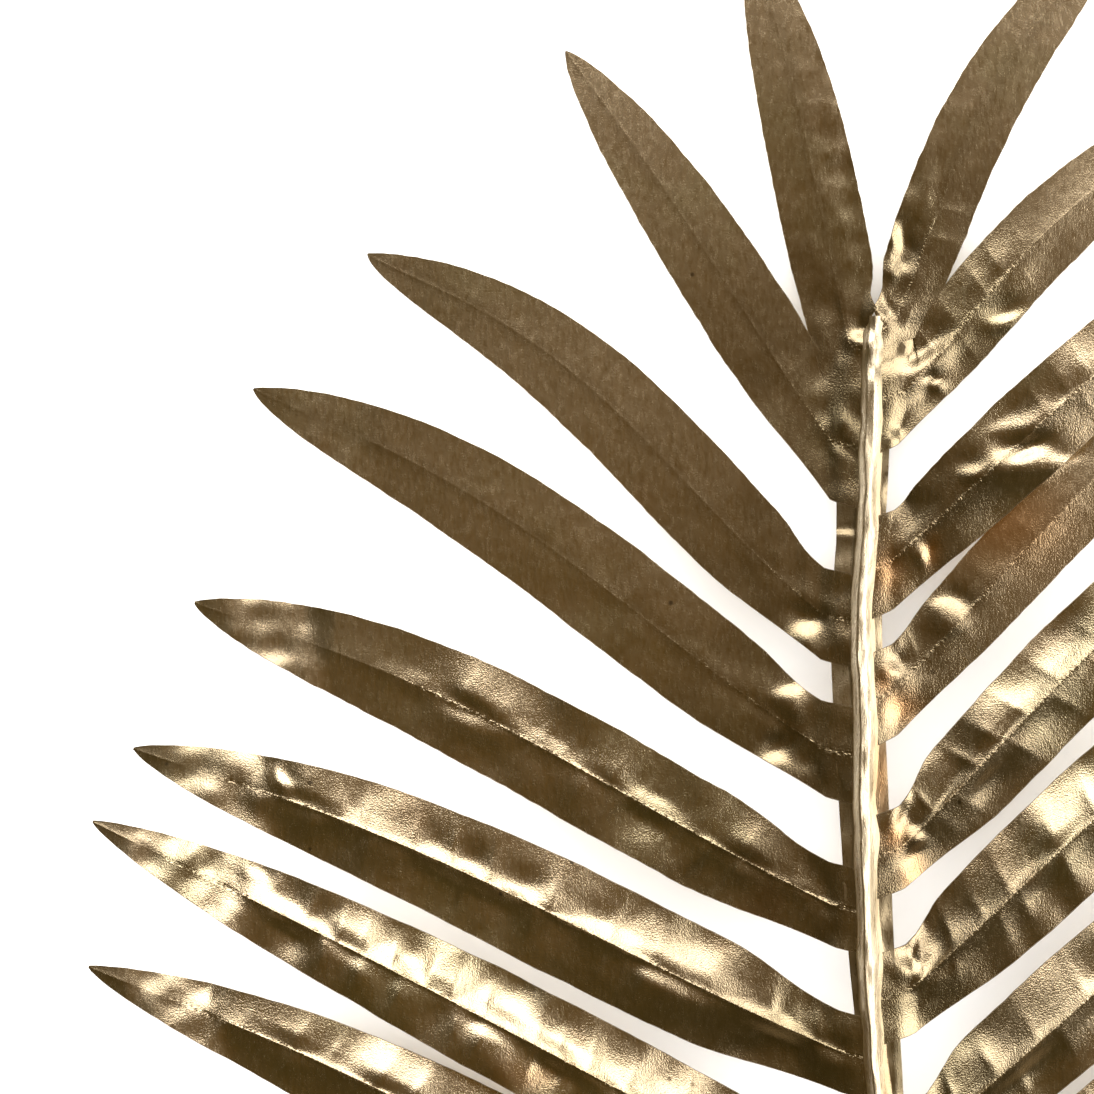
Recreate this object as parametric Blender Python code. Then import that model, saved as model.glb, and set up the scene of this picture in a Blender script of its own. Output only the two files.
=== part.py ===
"""A gilded palm frond, cut at the foot of its stalk and lying face up.

The rib arches from the cut foot to the crown, with a narrow web along each side. The leaflets stand on the
webs' edges. Each is a thin blade folded downwards along its midrib, and its tip droops to the surface.
Lengths in the tables are in millimetres: x across the frond, y along it from the foot, z up.
"""

import math
from collections import namedtuple

import bmesh
import bpy
import numpy as np

METRES = 0.001

# The rib: y, sideways course, height of its centre, half width, half height.
RIB = (
    (0.0, 0.0, 4.2, 4.8, 4.2),
    (60.0, 1.4, 7.4, 4.2, 3.8),
    (170.0, 3.6, 13.4, 3.9, 3.5),
    (300.0, 4.2, 17.8, 3.7, 3.3),
    (400.0, 2.6, 19.0, 3.5, 3.1),
    (450.0, -0.4, 18.6, 3.3, 3.0),
    (500.0, -1.0, 17.6, 3.1, 2.8),
    (545.0, -1.6, 15.8, 2.9, 2.6),
    (580.0, 0.3, 13.8, 2.6, 2.4),
    (623.0, 1.2, 11.0, 1.5, 1.3),
)
# The webs: y, reach to the left of the rib's centre, reach to the right.
WEB = (
    (0.0, 5.0, 5.0),
    (150.0, 4.2, 4.2),
    (190.0, 5.2, 5.2),
    (300.0, 5.8, 6.4),
    (400.0, 6.7, 6.4),
    (430.0, 5.6, 6.7),
    (470.0, 7.2, 6.2),
    (505.0, 9.2, 5.0),
    (530.0, 9.6, 4.7),
    (560.0, 8.8, 4.4),
    (586.0, 10.2, 4.6),
    (603.0, 11.6, 7.4),
    (615.0, 5.4, 8.8),
    (623.0, 0.4, 0.4),
)
WEB_DROP = 0.14  # how far a web falls for each millimetre that it reaches
WEB_EDGE = 0.9  # a web's thickness at its edge
RIB_STEP = 16.0  # the distance between the rib's sections
CROWN = 580.0  # where the webs spread under the topmost leaflets
CROWN_STEP = 4.0  # the distance between sections from there on
OVER_THE_RIB = (155, 125, 90, 55, 25)  # degrees round the rib, above the webs
UNDER_THE_RIB = (-35, -65, -90, -115, -145)

# Leaflets from the tip of the frond down: where the foot starts and ends along the web, the tip, the bow of
# the midrib, the width, how full the end is, the fold in degrees, the arch, and how high the tip lies.
Leaflet = namedtuple("Leaflet", "foot_start foot_end tip_x tip_y bow width fullness fold arch tip_z")
LEFT = (
    (604.0, 622.0, -33.0, 728.0, 1.5, 23.6, 4.4, 4.0, 1.4, 7.5),
    (570.0, 602.0, -84.8, 697.4, 1.2, 25.2, 3.6, 4.0, 1.4, 4.0),
    (526.0, 550.2, -140.3, 640.9, 9.5, 27.4, 4.2, 4.0, 1.8, 0.6),
    (488.0, 513.5, -172.2, 603.1, 7.4, 28.9, 4.6, 4.0, 2.0, 1.6),
    (447.0, 469.0, -188.7, 543.4, 5.8, 29.8, 4.8, 6.0, 3.0, 0.6),
    (406.8, 428.0, -205.8, 502.6, 5.2, 31.7, 4.0, 10.0, 7.0, 1.2),
    (363.5, 385.0, -217.3, 482.1, 1.6, 30.2, 3.6, 12.0, 7.0, 0.6),
    (326.8, 348.0, -218.4, 441.5, 5.4, 30.8, 3.6, 12.0, 6.0, 0.6),
    (287.0, 308.5, -216.0, 394.0, 5.0, 31.0, 4.2, 11.0, 7.0, 1.4),
    (247.5, 269.0, -206.0, 342.0, 6.0, 31.0, 4.2, 11.0, 6.0, 0.6),
    (210.0, 230.5, -190.5, 286.0, 6.0, 30.0, 4.2, 10.0, 7.0, 0.6),
    (174.0, 193.5, -167.0, 228.5, 6.0, 28.0, 4.2, 10.0, 6.0, 1.6),
)
RIGHT = (
    (616.0, 622.4, 72.0, 735.0, 8.4, 20.8, 4.2, 4.0, 2.0, 5.0),
    (585.5, 614.7, 110.0, 689.5, 7.8, 22.9, 4.0, 6.0, 2.4, 2.0),
    (539.5, 566.4, 142.0, 664.0, 5.4, 25.6, 4.2, 10.0, 9.0, 3.0),
    (504.2, 528.6, 152.0, 655.0, 5.5, 23.6, 4.2, 9.0, 3.0, 0.6),
    (462.0, 483.8, 162.0, 602.0, 9.6, 27.8, 4.4, 11.0, 6.0, 0.6),
    (421.9, 445.4, 187.0, 562.0, 11.5, 31.0, 4.2, 11.0, 7.0, 1.4),
    (380.0, 401.0, 205.0, 532.6, 8.2, 31.0, 4.2, 12.0, 6.0, 0.6),
    (340.7, 363.0, 213.0, 486.0, 8.0, 31.0, 4.2, 12.0, 7.0, 0.6),
    (301.0, 323.0, 214.0, 434.0, 7.0, 31.0, 4.2, 11.0, 6.0, 1.6),
    (262.0, 283.5, 209.0, 376.0, 7.0, 31.0, 4.2, 11.0, 7.0, 0.6),
    (224.5, 245.0, 196.0, 316.0, 6.0, 30.0, 4.2, 10.0, 6.0, 0.6),
    (189.0, 208.0, 174.0, 254.0, 6.0, 28.0, 4.2, 10.0, 7.0, 1.2),
)
BOW_START = {-1: 2.3, 1: 1.6}  # how late a midrib's bow sets in from the foot, on the left and on the right
BOW_END = 1.4  # how late it fades towards the tip
SHEET = 0.6  # a leaflet's thickness
FOOT_GAP = 0.5  # between a leaflet's foot and the web
FOOT_WIDTH = 0.66  # a leaflet's width at its foot, as a share of its width
FOOT_SPREAD = 0.11  # the share of the length over which it widens from there
FOOT_TURN = {-1: 0.2, 1: 0.14}  # the share of the length over which its sections turn square to the midrib
TIP_ROUNDING = 0.75  # how bluntly it closes
TIP_SHARE = 0.999  # where its last section lies, just short of a point
MIDRIB_STEP = 0.01  # the share of the length over which the midrib's direction is read
FOLD_FADE = 0.7  # how much of the fold is lost by the tip
SHOULDER = 0.5  # how much more steeply a half falls beside the midrib than at the margin
LENGTH_STEPS = 15
WIDTH_STEPS = 4
CLOSER_TO_TIP = 1.5  # how much closer together the sections are at the tip

BRONZE = (0.42, 0.30, 0.15, 1.0)
DARK_BRONZE = (0.36, 0.25, 0.12, 1.0)


def smooth(table, column, y):
    """A column of a table read at y, along a smooth curve through the table's rows."""
    rows = np.array(table)
    at = rows[:, 0]
    values = rows[:, column]
    slopes = np.gradient(values, at)
    i = int(np.clip(np.searchsorted(at, y) - 1, 0, len(at) - 2))
    span = at[i + 1] - at[i]
    t = (y - at[i]) / span
    start = (1 + 2 * t) * (1 - t) ** 2 * values[i] + t * (1 - t) ** 2 * span * slopes[i]
    end = t * t * (3 - 2 * t) * values[i + 1] + t * t * (t - 1) * span * slopes[i + 1]
    return float(start + end)


def ease(t):
    """0 before 0, 1 after 1, and a soft step between."""
    t = min(max(t, 0.0), 1.0)
    return t * t * (3 - 2 * t)


def left_of(direction, side):
    """The flat direction square to this one, turned towards the tip of the frond on that side."""
    return np.array((-direction[1], direction[0])) * side


def web_edge(y, side):
    """The point on a web's edge at y; side is -1 on the left and 1 on the right."""
    column = 1 if side < 0 else 2
    reach = float(np.interp(y, [row[0] for row in WEB], [row[column] for row in WEB]))
    height = smooth(RIB, 2, y) - WEB_DROP * reach
    return np.array((smooth(RIB, 1, y) + side * reach, y, height))


def rib_section(y):
    """The points round the rib and its webs at y, from the left web's top edge over to the right."""
    centre, height, half_width, half_height = (smooth(RIB, column, y) for column in (1, 2, 3, 4))
    left = web_edge(y, -1)
    right = web_edge(y, 1)
    half_edge = WEB_EDGE / 2

    def round_the_rib(angles):
        turns = [math.radians(angle) for angle in angles]
        return [(centre + half_width * math.cos(t), height + half_height * math.sin(t)) for t in turns]

    section = [(left[0], left[2] + half_edge)]
    section += round_the_rib(OVER_THE_RIB)
    section += [(right[0], right[2] + half_edge), (right[0], right[2] - half_edge)]
    section += round_the_rib(UNDER_THE_RIB)
    section += [(left[0], left[2] - half_edge)]
    return [(x, y, z) for x, z in section]


def metal(name, colour, roughness):
    material = bpy.data.materials.new(name)
    material.use_nodes = True
    shader = material.node_tree.nodes["Principled BSDF"]
    shader.inputs["Base Color"].default_value = colour
    shader.inputs["Metallic"].default_value = 0.9
    shader.inputs["Roughness"].default_value = roughness
    return material


def add_object(name, bm, material, parent):
    """Turns a finished bmesh into an object of the frond."""
    bmesh.ops.recalc_face_normals(bm, faces=bm.faces)
    mesh = bpy.data.meshes.new(name)
    bm.to_mesh(mesh)
    bm.free()
    mesh.materials.append(material)
    mesh.shade_smooth()
    obj = bpy.data.objects.new(name, mesh)
    obj.parent = parent
    bpy.context.scene.collection.objects.link(obj)
    return obj


def add_verts(bm, points):
    return [bm.verts.new(np.array(point) * METRES) for point in points]


def add_rachis(material, parent):
    """The rib, its webs and the stalk, in one piece: a skin over the sections, closed at both ends."""
    stalk = np.arange(0.0, CROWN, RIB_STEP)
    crown = np.arange(CROWN, RIB[-1][0] + CROWN_STEP / 2, CROWN_STEP)
    bm = bmesh.new()
    rings = [add_verts(bm, rib_section(y)) for y in np.concatenate([stalk, crown])]
    for ring, following in zip(rings, rings[1:]):
        for i in range(len(ring)):
            j = (i + 1) % len(ring)
            bm.faces.new((ring[i], ring[j], following[j], following[i]))
    bm.faces.new(rings[0])
    bm.faces.new(rings[-1])
    obj = add_object("rachis", bm, material, parent)
    obj.data.set_sharp_from_angle(angle=math.radians(50))
    return obj


def leaflet_half_width(leaflet, share):
    """Half the blade's width at a share of its length: narrow at the foot, then full, then a point."""
    foot = 1 - (1 - FOOT_WIDTH) * math.exp(-share / FOOT_SPREAD)
    point = (1 - share**leaflet.fullness) ** TIP_ROUNDING
    return leaflet.width / 2 * foot * point


def bow_shape(share, side):
    """A curve that is 0 at both ends and 1 where the midrib bows most."""
    start = BOW_START[side]
    top = start / (start + BOW_END)
    return (share / top) ** start * ((1 - share) / (1 - top)) ** BOW_END


def midrib(leaflet, side, foot, share):
    """The midrib's place in plan."""
    chord = np.array((leaflet.tip_x, leaflet.tip_y)) - foot[:2]
    up = left_of(chord / np.linalg.norm(chord), side)
    return foot[:2] + chord * share + up * leaflet.bow * bow_shape(share, side)


def leaflet_point(leaflet, side, share, across):
    """The middle of the sheet at a share of the length, and at across from -1, the lower margin, to 1."""
    foot = (web_edge(leaflet.foot_start, side) + web_edge(leaflet.foot_end, side)) / 2
    before = midrib(leaflet, side, foot, max(share - MIDRIB_STEP, 0.0))
    after = midrib(leaflet, side, foot, min(share + MIDRIB_STEP, 1.0))
    square = left_of((after - before) / np.linalg.norm(after - before), side)
    half = leaflet_half_width(leaflet, share)
    foot_y = leaflet.foot_start + (leaflet.foot_end - leaflet.foot_start) * (across + 1) / 2
    from_foot = web_edge(foot_y, side) - foot
    turned = ease(share / FOOT_TURN[side])
    flat = midrib(leaflet, side, foot, share) + square * across * half * turned + from_foot[:2] * (1 - turned)

    rise = foot[2] * (1 - share) + leaflet.tip_z * share + leaflet.arch * 4 * share * (1 - share)
    folded = math.tan(math.radians(leaflet.fold)) * turned * (1 - FOLD_FADE * share**3)
    fall = folded * half * ((1 + SHOULDER) * abs(across) - SHOULDER * across**2)
    return np.array((flat[0], flat[1], rise - fall + from_foot[2] * (1 - turned)))


def foot_shift(leaflet, side):
    """The small step off the web that keeps a leaflet's foot clear of it."""
    edge = (web_edge(leaflet.foot_end, side) - web_edge(leaflet.foot_start, side))[:2]
    out = np.array((edge[1], -edge[0])) * side / np.linalg.norm(edge)
    return np.array((out[0], out[1], 0.0)) * FOOT_GAP


def add_leaflet(name, leaflet, side, material, parent):
    """One blade: a grid of points from foot to tip, given its thickness by a Solidify."""
    shift = foot_shift(leaflet, side)
    bm = bmesh.new()
    lines = []
    for i in range(LENGTH_STEPS + 1):
        share = TIP_SHARE * (1 - (1 - i / LENGTH_STEPS) ** CLOSER_TO_TIP)
        steps = [2 * j / WIDTH_STEPS - 1 for j in range(WIDTH_STEPS + 1)]
        lines.append(add_verts(bm, [leaflet_point(leaflet, side, share, across) + shift for across in steps]))
    for line, following in zip(lines, lines[1:]):
        for j in range(WIDTH_STEPS):
            bm.faces.new((line[j], line[j + 1], following[j + 1], following[j]))
    obj = add_object(name, bm, material, parent)
    sheet = obj.modifiers.new("Sheet", "SOLIDIFY")
    sheet.thickness = SHEET * METRES
    sheet.offset = 0.0
    return obj


def lay_down(frond, pieces):
    """Moves the frond so that the origin is under its middle, on the surface that it lies on."""
    bpy.context.view_layer.update()
    graph = bpy.context.evaluated_depsgraph_get()
    corners = np.array([corner for piece in pieces for corner in piece.evaluated_get(graph).bound_box])
    low = corners.min(axis=0)
    high = corners.max(axis=0)
    frond.location = (-(low[0] + high[0]) / 2, -(low[1] + high[1]) / 2, -low[2])


def build():
    for obj in list(bpy.data.objects):
        bpy.data.objects.remove(obj)
    frond = bpy.data.objects.new("frond", None)
    bpy.context.scene.collection.objects.link(frond)
    blade = metal("leaflet_bronze", BRONZE, 0.42)
    pieces = [add_rachis(metal("rachis_bronze", DARK_BRONZE, 0.38), frond)]
    for hand, side, rows in (("left", -1, LEFT), ("right", 1, RIGHT)):
        for number, row in enumerate(rows, start=1):
            name = f"leaflet_{hand}_{number:02d}"
            pieces.append(add_leaflet(name, Leaflet(*row), side, blade, frond))
    lay_down(frond, pieces)


build()
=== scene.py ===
# %% [markdown]
# # A gilded palm frond, laid face up
#
# The real object is one frond with a metal coat. A rib runs from the cut stalk to the crown, a narrow web
# follows it on each side, and twenty-four thin blades stand on the webs. The coat is a satin bronze foil, so
# nearly all that shows is how each patch of surface tilts. The folds, buckles and dents are therefore in the
# mesh, and only the finest grain is left to the material. The CAD frame is loaded first, and stays as it is.

# %% Load the frame and measure it
import math
from collections import namedtuple

import bpy
import numpy as np
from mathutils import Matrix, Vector


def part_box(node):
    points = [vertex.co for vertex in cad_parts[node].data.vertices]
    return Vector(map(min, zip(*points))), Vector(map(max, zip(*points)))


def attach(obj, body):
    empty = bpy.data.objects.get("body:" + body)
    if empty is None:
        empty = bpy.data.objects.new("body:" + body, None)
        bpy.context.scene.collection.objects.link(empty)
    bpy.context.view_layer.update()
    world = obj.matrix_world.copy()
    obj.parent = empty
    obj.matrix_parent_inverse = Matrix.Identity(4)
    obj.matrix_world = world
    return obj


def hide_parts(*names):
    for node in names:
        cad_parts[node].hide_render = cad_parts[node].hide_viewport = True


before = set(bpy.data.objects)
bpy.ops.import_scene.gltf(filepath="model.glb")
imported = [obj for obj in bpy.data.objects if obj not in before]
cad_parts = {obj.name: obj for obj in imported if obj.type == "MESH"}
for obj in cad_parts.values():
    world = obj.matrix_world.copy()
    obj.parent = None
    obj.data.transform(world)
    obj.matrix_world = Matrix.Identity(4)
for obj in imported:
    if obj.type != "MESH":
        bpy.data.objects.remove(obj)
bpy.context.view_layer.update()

# %% [markdown]
# ## The numbers that the frond was drawn with
#
# The blades have to lie where their plain solids lie, so the same few driving numbers are repeated here, in
# millimetres: x across the frond, y along it from the cut foot, z up. They give grids as fine as needed.

# %% The rib
# Each row: y, sideways course, height of its centre, half width, half height.
RIB = (
    (0, 0, 4.2, 4.8, 4.2),
    (60, 1.4, 7.4, 4.2, 3.8),
    (170, 3.6, 13.4, 3.9, 3.5),
    (300, 4.2, 17.8, 3.7, 3.3),
    (400, 2.6, 19, 3.5, 3.1),
    (450, -0.4, 18.6, 3.3, 3),
    (500, -1, 17.6, 3.1, 2.8),
    (545, -1.6, 15.8, 2.9, 2.6),
    (580, 0.3, 13.8, 2.6, 2.4),
    (623, 1.2, 11, 1.5, 1.3),
)
print("the rib is", RIB[-1][0], "mm long and", 2 * RIB[0][3], "mm wide at the cut")

# %% [markdown]
# A narrow web of the same sheet runs along both sides of the rib, and the blades grow out of it.

# %% The webs
# Each row: y, reach to the left of the rib's centre, reach to the right.
WEB = (
    (0, 5, 5),
    (150, 4.2, 4.2),
    (190, 5.2, 5.2),
    (300, 5.8, 6.4),
    (400, 6.7, 6.4),
    (430, 5.6, 6.7),
    (470, 7.2, 6.2),
    (505, 9.2, 5),
    (530, 9.6, 4.7),
    (560, 8.8, 4.4),
    (586, 10.2, 4.6),
    (603, 11.6, 7.4),
    (615, 5.4, 8.8),
    (623, 0.4, 0.4),
)
WEB_DROP = 0.14  # how far a web falls for each mm of reach
print("the left web reaches", max(row[1] for row in WEB), "mm")

# %% [markdown]
# Each blade is a long tapered leaf with its foot on the web. A few driving numbers keep its outline smooth:
# where its foot starts and ends along the web, its tip, the bow of its midrib, its width, how full its end is,
# its fold in degrees, its arch, and how high its tip lies.

# %% The blades, from the frond's tip down
Blade = namedtuple("Blade", "foot_start foot_end tip_x tip_y bow width fullness fold arch tip_z")
LEFT = (
    (604, 622, -33, 728, 1.5, 23.6, 4.4, 4, 1.4, 7.5),
    (570, 602, -84.8, 697.4, 1.2, 25.2, 3.6, 4, 1.4, 4),
    (526, 550.2, -140.3, 640.9, 9.5, 27.4, 4.2, 4, 1.8, 0.6),
    (488, 513.5, -172.2, 603.1, 7.4, 28.9, 4.6, 4, 2, 1.6),
    (447, 469, -188.7, 543.4, 5.8, 29.8, 4.8, 6, 3, 0.6),
    (406.8, 428, -205.8, 502.6, 5.2, 31.7, 4, 10, 7, 1.2),
    (363.5, 385, -217.3, 482.1, 1.6, 30.2, 3.6, 12, 7, 0.6),
    (326.8, 348, -218.4, 441.5, 5.4, 30.8, 3.6, 12, 6, 0.6),
    (287, 308.5, -216, 394, 5, 31, 4.2, 11, 7, 1.4),
    (247.5, 269, -206, 342, 6, 31, 4.2, 11, 6, 0.6),
    (210, 230.5, -190.5, 286, 6, 30, 4.2, 10, 7, 0.6),
    (174, 193.5, -167, 228.5, 6, 28, 4.2, 10, 6, 1.6),
)
RIGHT = (
    (616, 622.4, 72, 735, 8.4, 20.8, 4.2, 4, 2, 5),
    (585.5, 614.7, 110, 689.5, 7.8, 22.9, 4, 6, 2.4, 2),
    (539.5, 566.4, 142, 664, 5.4, 25.6, 4.2, 10, 9, 3),
    (504.2, 528.6, 152, 655, 5.5, 23.6, 4.2, 9, 3, 0.6),
    (462, 483.8, 162, 602, 9.6, 27.8, 4.4, 11, 6, 0.6),
    (421.9, 445.4, 187, 562, 11.5, 31, 4.2, 11, 7, 1.4),
    (380, 401, 205, 532.6, 8.2, 31, 4.2, 12, 6, 0.6),
    (340.7, 363, 213, 486, 8, 31, 4.2, 12, 7, 0.6),
    (301, 323, 214, 434, 7, 31, 4.2, 11, 6, 1.6),
    (262, 283.5, 209, 376, 7, 31, 4.2, 11, 7, 0.6),
    (224.5, 245, 196, 316, 6, 30, 4.2, 10, 6, 0.6),
    (189, 208, 174, 254, 6, 28, 4.2, 10, 7, 1.2),
)
print(len(LEFT), "blades on the left and", len(RIGHT), "on the right")

# %% [markdown]
# The way a midrib bows, an outline rounds off and a fold softens is the same for every blade.

# %% What all the blades share
BOW_START = {-1: 2.3, 1: 1.6}  # how late the midrib bows, on the left (-1) and on the right (1)
BOW_END = 1.4  # how soon it straightens
FOOT_WIDTH = 0.66  # the foot's width, as a share of the blade's
FOOT_SPREAD = 0.11  # the share of the length over which it widens
FOOT_TURN = {-1: 0.2, 1: 0.14}  # the share over which it turns from the web's line
TIP_ROUNDING = 0.75
TIP_SHARE = 0.999  # where the grid ends, just short of the tip
FOLD_FADE = 0.7  # how much of the fold is gone at the tip
SHOULDER = 0.5  # how rounded each half is across
print("a foot is", FOOT_WIDTH, "as wide as its blade")

# %% [markdown]
# ## Curves through the tables
#
# The rib's course is a smooth curve through the rows of its table, with each row's slope taken from its
# neighbours. It works on whole arrays, as the grids hold half a million points.


# %% Reading a table along the frond
def along(table, column, y):
    """A column of a table at each y, along a smooth curve through its rows."""
    rows = np.array(table)
    at, values = rows[:, 0], rows[:, column]
    slopes = np.gradient(values, at)
    i = np.clip(np.searchsorted(at, y) - 1, 0, len(at) - 2)
    span = at[i + 1] - at[i]
    t = (y - at[i]) / span
    start = (1 + 2 * t) * (1 - t) ** 2 * values[i] + t * (1 - t) ** 2 * span * slopes[i]
    return start + t * t * (3 - 2 * t) * values[i + 1] + t * t * (t - 1) * span * slopes[i + 1]


def ease(t):
    """0 before 0, 1 after 1, and a soft step between."""
    t = np.clip(t, 0, 1)
    return t * t * (3 - 2 * t)


print("the rib at 350 mm lies", np.round(along(RIB, 2, np.array([350.0])), 1), "mm up")

# %% [markdown]
# The feet of the blades stand on the web's edge, so the edge is worked out as points.


# %% The edges of the webs
def web_reach(y, side):
    """How far a web reaches from the rib's centre."""
    column = 1 if side < 0 else 2
    return np.interp(y, [row[0] for row in WEB], [row[column] for row in WEB])


def web_edge(y, side):
    """The points on a web's edge at each y, as the last axis."""
    reach = web_reach(y, side)
    return np.stack([along(RIB, 1, y) + side * reach, y, along(RIB, 2, y) - WEB_DROP * reach], axis=-1)


print("the left web's edge starts at", np.round(web_edge(np.zeros(1), -1), 1))

# %% [markdown]
# The solid rachis has sections only at certain places, so its box is compared with the drawing at those.

# %% Where the drawing lies in the frame
MM = 0.001
SOLID_SECTIONS = (np.arange(0.0, 580.0, 16.0), np.arange(580.0, 625.0, 4.0))
solid_y = np.minimum(np.concatenate(SOLID_SECTIONS), RIB[-1][0])
drawn_low = np.array((web_edge(solid_y, -1)[:, 0].min(), 0.0, 0.0))
TO_FRAME = np.array(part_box("rachis")[0]) - drawn_low * MM
TO_FRAME[2] = 0.0
print("the drawing's zero lies at", np.round(TO_FRAME / MM, 2), "mm in the frame")


def to_frame(points):
    """Points in drawing mm, moved to the frame in metres."""
    return points * MM + TO_FRAME


# %% [markdown]
# ## Uneven surfaces that repeat exactly
#
# Foil over a dry leaf is never flat. Its swells are a sum of plane waves in random directions, which has a
# wavelength that can be chosen, and is the same each time, because its seed is fixed.

# %% Swells
WAVES = 10


def swell(x, y, wavelength, seed):
    """An uneven surface of about this wavelength in mm, with an average height of 1."""
    draw = np.random.default_rng(seed)
    height = np.zeros_like(x)
    for _ in range(WAVES):
        turn = draw.uniform(0, math.tau)
        rate = math.tau / (wavelength * draw.uniform(0.7, 1.5))
        phase = draw.uniform(0, math.tau)
        height += np.sin(rate * (x * math.cos(turn) + y * math.sin(turn)) + phase)
    return height * math.sqrt(2 / WAVES)


line = np.linspace(0.0, 200.0, 400)
print("a swell is", np.round(np.ptp(swell(line, 0 * line, 20.0, 1)), 1), "high from trough to crest")

# %% [markdown]
# Beside the midrib the foil has puckered into a row of domes. Waves would round off the sharp valleys between
# them, so the domes are arcs of uneven length, set end to end.

# %% Scallops
LOWEST_DOME = 0.15
ROUNDER = 0.75


def scallops(along_blade, length, seed, shortest, longest):
    """A row of domes of uneven length and height, like quilting."""
    draw = np.random.default_rng(seed)
    joints = [0.0]
    while joints[-1] < length + longest:
        joints.append(joints[-1] + draw.uniform(shortest, longest))
    joints = np.array(joints)
    heights = draw.uniform(LOWEST_DOME, 1.0, len(joints))
    i = np.clip(np.searchsorted(joints, along_blade) - 1, 0, len(joints) - 2)
    t = np.clip((along_blade - joints[i]) / (joints[i + 1] - joints[i]), 0, 1)
    return (4 * t * (1 - t)) ** ROUNDER * heights[i]


print("one blade's highest dome is", np.round(scallops(line, 200.0, 10, 7.0, 19.0).max(), 2))

# %% [markdown]
# ## Where each blade is smooth and where it is crumpled
#
# The blades near the crown are smooth but for their feet. Further down, the foil is buckled against the
# midrib. A row for each blade says how strongly it is crumpled, how far along it the buckles reach, its fold
# against the solid's on the upper and the lower half, where its twisted tip starts, and how steep the twist is.

# %% How crumpled each blade is, from the frond's tip down
Crumple = namedtuple("Crumple", "amount reach upper_fold lower_fold tip_from twist")
LEFT_CRUMPLES = (
    (0.06, 0.3, 0.15, 0.15, 1, 0),
    (0.08, 0.35, 0.15, 0.15, 1, 0),
    (0.08, 0.45, 0.15, 0.15, 1, 0),
    (0.16, 0.6, 0.25, 0.25, 0.8, 0.03),
    (0.8, 0.8, 0.6, 0.45, 0.8, 0.12),
    (1.05, 1, 1.1, 0.8, 0.8, 0.16),
    (1.45, 1, 1.5, 0, 0.79, 0.18),
    (1.2, 1, 1.15, 0.7, 0.82, 0.18),
)
RIGHT_CRUMPLES = (
    (0.2, 0.4, 0.3, 0.3, 1, 0),
    (0.35, 0.5, 0.9, 0.6, 1, 0),
    (0.55, 0.7, 0.6, 0.7, 0.9, 0.1),
    (0.2, 0.6, 0.4, 0.5, 0.9, 0.1),
    (1.05, 0.95, 1.25, 0.9, 0.85, 0.14),
    (1.2, 1, 1.5, 0.8, 0.84, 0.14),
    (1.2, 1, 1.5, 0.8, 0.84, 0.16),
    (1.1, 1, 1.4, 0.8, 0.84, 0.16),
)
LOWER_CRUMPLE = Crumple(1.00, 1.00, 1.35, 0.75, 0.83, 0.16)  # every blade further down


def crumple_of(side, number):
    """How crumpled a blade is. The number counts from the frond's tip."""
    rows = LEFT_CRUMPLES if side < 0 else RIGHT_CRUMPLES
    return Crumple(*rows[number - 1]) if number <= len(rows) else LOWER_CRUMPLE


print("left blade 7 is crumpled by", crumple_of(-1, 7).amount)

# %% [markdown]
# Single dents by the rib, and notches across two tips, catch the light on their own, so each is placed: where
# it is, how far it reaches along and across itself, how steep it is, and which way it faces, in degrees.

# %% Single dents
Dent = namedtuple("Dent", "x y long wide slope faces")
DENTS = tuple(Dent(*row) for row in (
    (-5.6, 594.4, 4.4, 2.6, 0.5, 15),
    (-7.3, 585.2, 3.6, 1.9, 0.45, 20),
    (-7.3, 562.8, 3.4, 1.2, 0.45, 90),
    (12, 611, 12, 5, 0.46, 116),
    (37, 623.6, 6, 3, 0.5, 112),
    (18, 604.8, 2.6, 2.2, 0.55, 100),
    (3.4, 625.1, 3.8, 2.2, 0.45, 20),
    (-1.8, 617.6, 4, 3.6, 0.45, 80),
    (7.3, 590.2, 2.6, 2.6, 0.45, 60),
    (43.2, 583.6, 9, 4.4, 0.66, 92),
    (38.5, 594, 7.5, 3, 0.3, 116),
    (27.7, 580.7, 3.6, 2.8, 0.42, 110),
    (14.8, 556.9, 3, 2.4, 0.52, 20),
    (22.4, 541.8, 5, 4.4, 0.38, 70),
    (-17.6, 535.6, 5.6, 5, 0.42, 75),
    (-21.8, 518.8, 4.6, 4, 0.36, 80),
    (-26, 500.6, 6, 5.4, 0.42, 75),
    (7.6, 644.8, 5.6, 3.4, 0.45, 15),
    (6.2, 637.8, 4, 3, 0.42, 20),
    (6.2, 526, 3.4, 3, 0.48, 70),
    (7.3, 483.5, 4.4, 3, 0.48, 20),
    (13.2, 479.6, 3, 2.6, 0.48, 70),
    (10.4, 443.2, 4.6, 3.6, 0.48, 70),
    (-163.2, 494.3, 3.8, 3.2, 0.36, 20),
    (-170.8, 468.4, 4.2, 3.4, 0.4, 20),
))
print(len(DENTS), "dents")

# %% [markdown]
# At the crown the blades' feet close up the gaps between them. A flare says which margin of a blade is wider
# (-1 lower, 1 upper), by how much, how far from the foot, and over what length.

# %% Wider feet
Flare = namedtuple("Flare", "side number margin by at reach")
FLARES = tuple(Flare(*row) for row in (
    (-1, 1, 1, 1.8, 0, 6),
    (1, 1, 1, 2, 0, 6),
    (-1, 1, -1, 2, 7, 9),
    (-1, 2, 1, 1, 10, 10),
    (1, 1, -1, 1.6, 2, 6),
    (1, 2, 1, 1.2, 2, 6),
))
print(len(FLARES), "margins are wider")
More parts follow.
